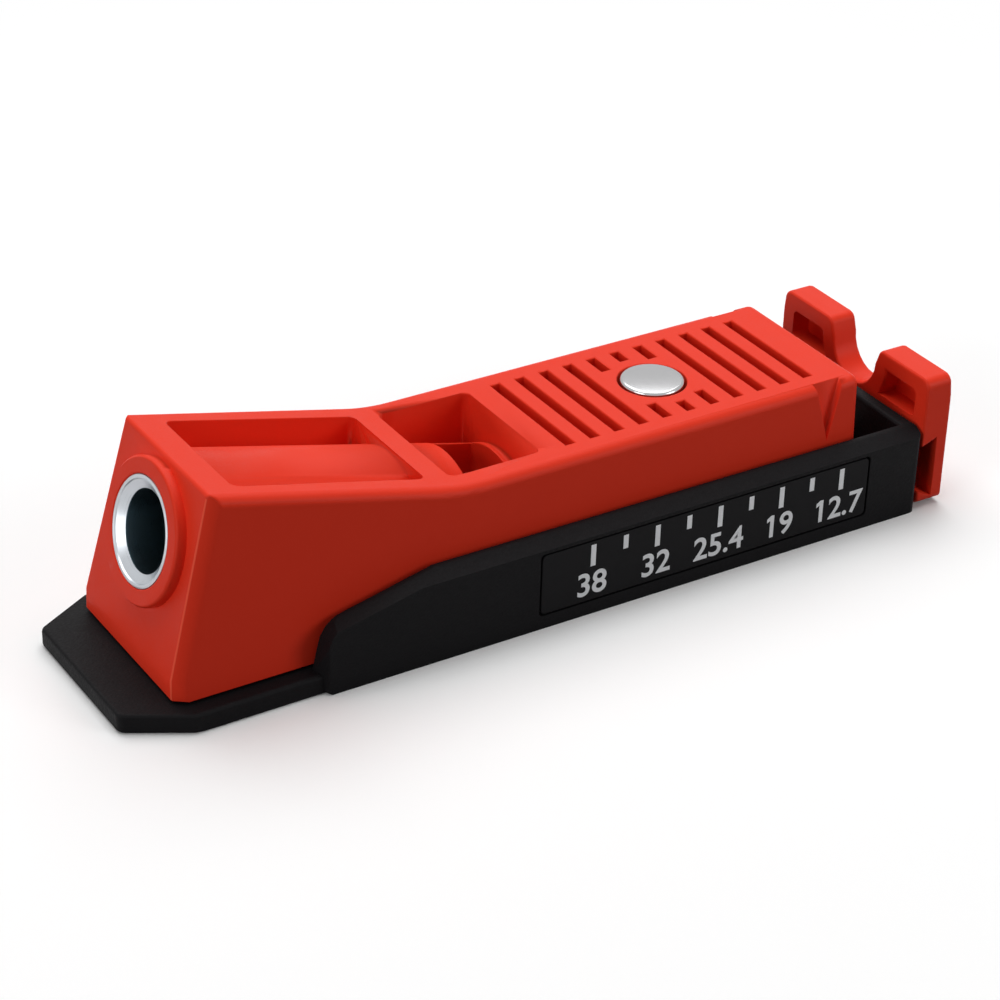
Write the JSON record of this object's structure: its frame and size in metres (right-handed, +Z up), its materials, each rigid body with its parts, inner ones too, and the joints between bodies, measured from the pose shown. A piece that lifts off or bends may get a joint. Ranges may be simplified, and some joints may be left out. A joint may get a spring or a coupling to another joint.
{
  "type": "pocket hole jig",
  "caption": "Angled drill guide that slides along a scaled sled with a swivelling edge stop, for drilling pocket holes into the face of a board.",
  "frame": {"origin": "middle of the bounding box, on the plane of the sled's underside", "axes": "+X along the sled towards the edge stop, +Z up, and the readable scale faces -Y"},
  "size_m": [0.113, 0.0308, 0.0273],
  "materials": {
    "black_plastic": "fine moulded texture",
    "scale_plastic": "fine moulded texture",
    "stop_plastic": "satin",
    "red_plastic": "satin",
    "bushing_steel": "turned and zinc plated",
    "magnet_plating": "nickel plated",
    "screw_steel": "zinc plated"
  },
  "bodies": {
    "sled": {"sled_base": "black_plastic", "scale_plate_near": "scale_plastic", "scale_plate_far": "scale_plastic", "stop_pivot_screw": "screw_steel", "stop_spring_washer": "screw_steel", "stop_nut": "screw_steel"},
    "guide": {"guide_body": "red_plastic", "drill_bushing": "bushing_steel", "clamp_magnet": "magnet_plating", "magnet_backing": "screw_steel", "retaining_screws": "screw_steel"},
    "stop": {"edge_stop": "stop_plastic"}
  },
  "joints": [
    {"name": "guide_slide", "type": "slide", "parent": "sled", "child": "guide", "axis": [-1, 0, 0], "range_m": [0, 0.03674]},
    {"name": "stop_swivel", "type": "hinge", "parent": "sled", "child": "stop", "pos_m": [0.0526, 0, 0.0059], "axis": [1, 0, 0], "range_deg": [0, 180]}
  ]
}
